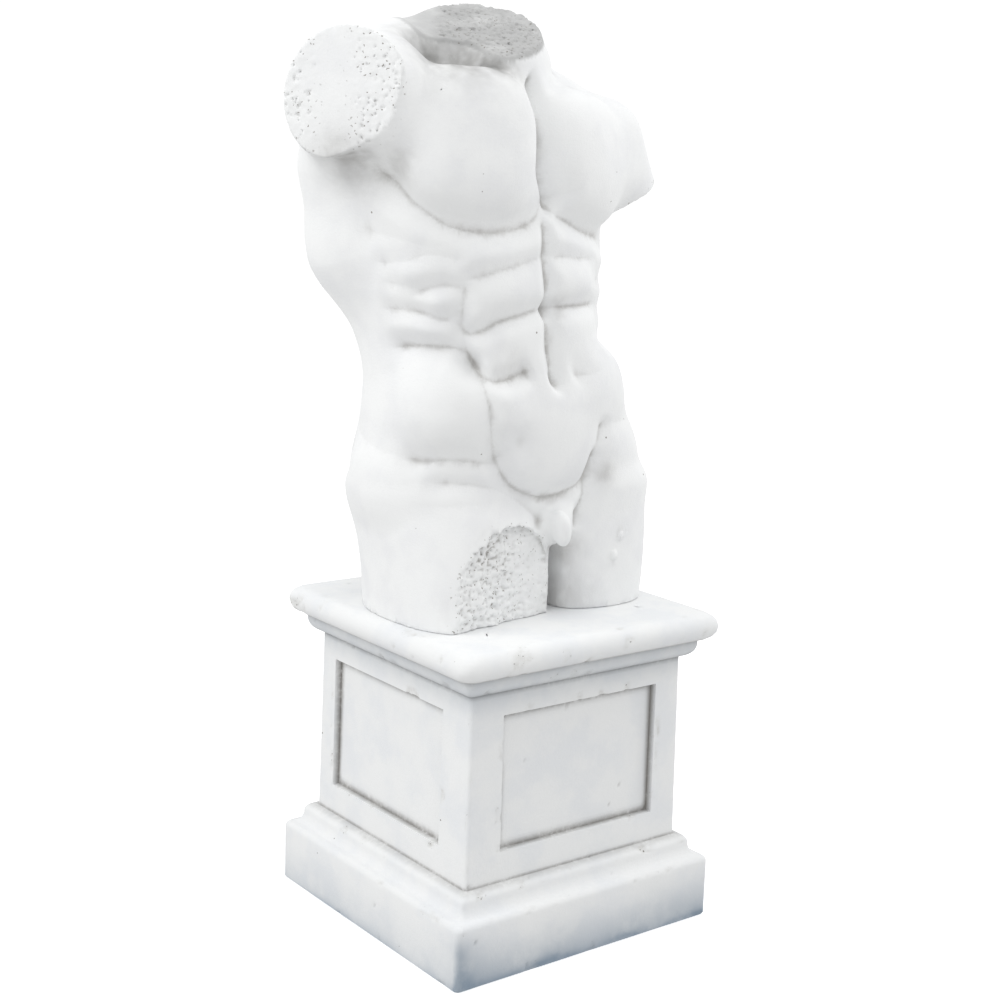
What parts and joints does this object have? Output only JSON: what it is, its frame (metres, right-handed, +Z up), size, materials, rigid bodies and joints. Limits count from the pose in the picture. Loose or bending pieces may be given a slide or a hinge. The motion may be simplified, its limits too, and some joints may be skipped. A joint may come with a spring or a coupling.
{
  "type": "male torso statue on a pedestal",
  "caption": "Cast stone male torso, broken at neck, arms and thighs, standing on a square pedestal with sunk panels, mouldings and a cap slab.",
  "frame": {"origin": "centre of the pedestal's square underside, on the ground", "axes": "+Z up, the figure faces -Y and its own left is +X"},
  "size_m": [0.3947, 0.302, 0.852],
  "materials": {
    "torso_stone": "matte white cast stone",
    "pedestal_stone": "matte pale grey cast stone"
  },
  "bodies": {
    "root": {"pedestal": "pedestal_stone", "torso": "torso_stone"}
  },
  "joints": []
}
